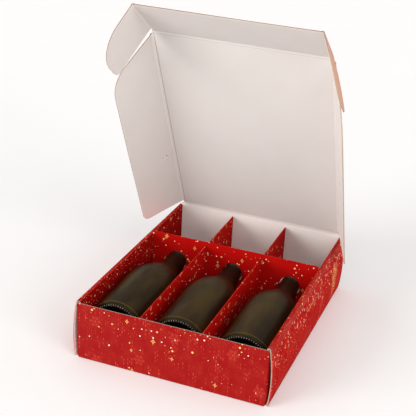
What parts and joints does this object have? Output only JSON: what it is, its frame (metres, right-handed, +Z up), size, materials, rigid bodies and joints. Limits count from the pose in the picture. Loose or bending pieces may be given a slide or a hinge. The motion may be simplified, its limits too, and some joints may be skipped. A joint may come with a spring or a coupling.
{
  "type": "three-bottle gift box",
  "caption": "Folded corrugated gift box with a hinged tuck-in lid, interlocking dividers and bottles lying in the lanes, necks through a holed divider.",
  "frame": {"origin": "middle of the tray floor's underside", "axes": "+X along the front wall to the right, +Y to the rear wall and the lid's hinge, +Z up"},
  "size_m": [0.3231, 0.342, 0.4396],
  "materials": {
    "printed_board": "printed red, satin",
    "lined_board": "white liner, matte",
    "divider_board": "printed red, satin",
    "bottle_glass": "dark olive glass, satin"
  },
  "bodies": {
    "tray": {"tray": "printed_board", "cross_divider": "divider_board", "left_divider": "divider_board", "right_divider": "divider_board", "left_bottle": "bottle_glass", "middle_bottle": "bottle_glass", "right_bottle": "bottle_glass"},
    "lid": {"lid_panel": "lined_board"},
    "left_flap": {"left_side_flap": "lined_board"},
    "right_flap": {"right_side_flap": "lined_board"},
    "tuck": {"tuck_flap": "lined_board"},
    "left_tuck_ear": {"left_ear": "lined_board"},
    "right_tuck_ear": {"right_ear": "lined_board"}
  },
  "joints": [
    {"name": "lid_hinge", "type": "hinge", "parent": "tray", "child": "lid", "pos_m": [0, 0.1702, 0.0875], "axis": [-1, 0, 0], "range_deg": [-52, 40]},
    {"name": "left_flap_fold", "type": "hinge", "parent": "lid", "child": "left_flap", "pos_m": [-0.1244, 0.1702, 0.0875], "axis": [0, -0.4305, 0.9026], "range_deg": [-31.2, 24]},
    {"name": "right_flap_fold", "type": "hinge", "parent": "lid", "child": "right_flap", "pos_m": [0.1244, 0.1702, 0.0875], "axis": [0, 0.4305, -0.9026], "range_deg": [-38.5, 29.6]},
    {"name": "tuck_fold", "type": "hinge", "parent": "lid", "child": "tuck", "pos_m": [0, 0.02499, 0.39194], "axis": [1, 0, 0], "range_deg": [-28, 62]},
    {"name": "left_ear_fold", "type": "hinge", "parent": "tuck", "child": "left_tuck_ear", "pos_m": [-0.1226, 0.02499, 0.39194], "axis": [0, -0.8039, 0.5948], "range_deg": [-9.8, 21.7]},
    {"name": "right_ear_fold", "type": "hinge", "parent": "tuck", "child": "right_tuck_ear", "pos_m": [0.1226, 0.02499, 0.39194], "axis": [0, 0.8039, -0.5948], "range_deg": [-16.8, 37.2]}
  ],
  "couplings": [
    {"joint": "left_flap_fold", "follows": "lid_hinge", "ratio": 0.6},
    {"joint": "right_flap_fold", "follows": "lid_hinge", "ratio": 0.74},
    {"joint": "left_ear_fold", "follows": "tuck_fold", "ratio": 0.35},
    {"joint": "right_ear_fold", "follows": "tuck_fold", "ratio": 0.6}
  ]
}
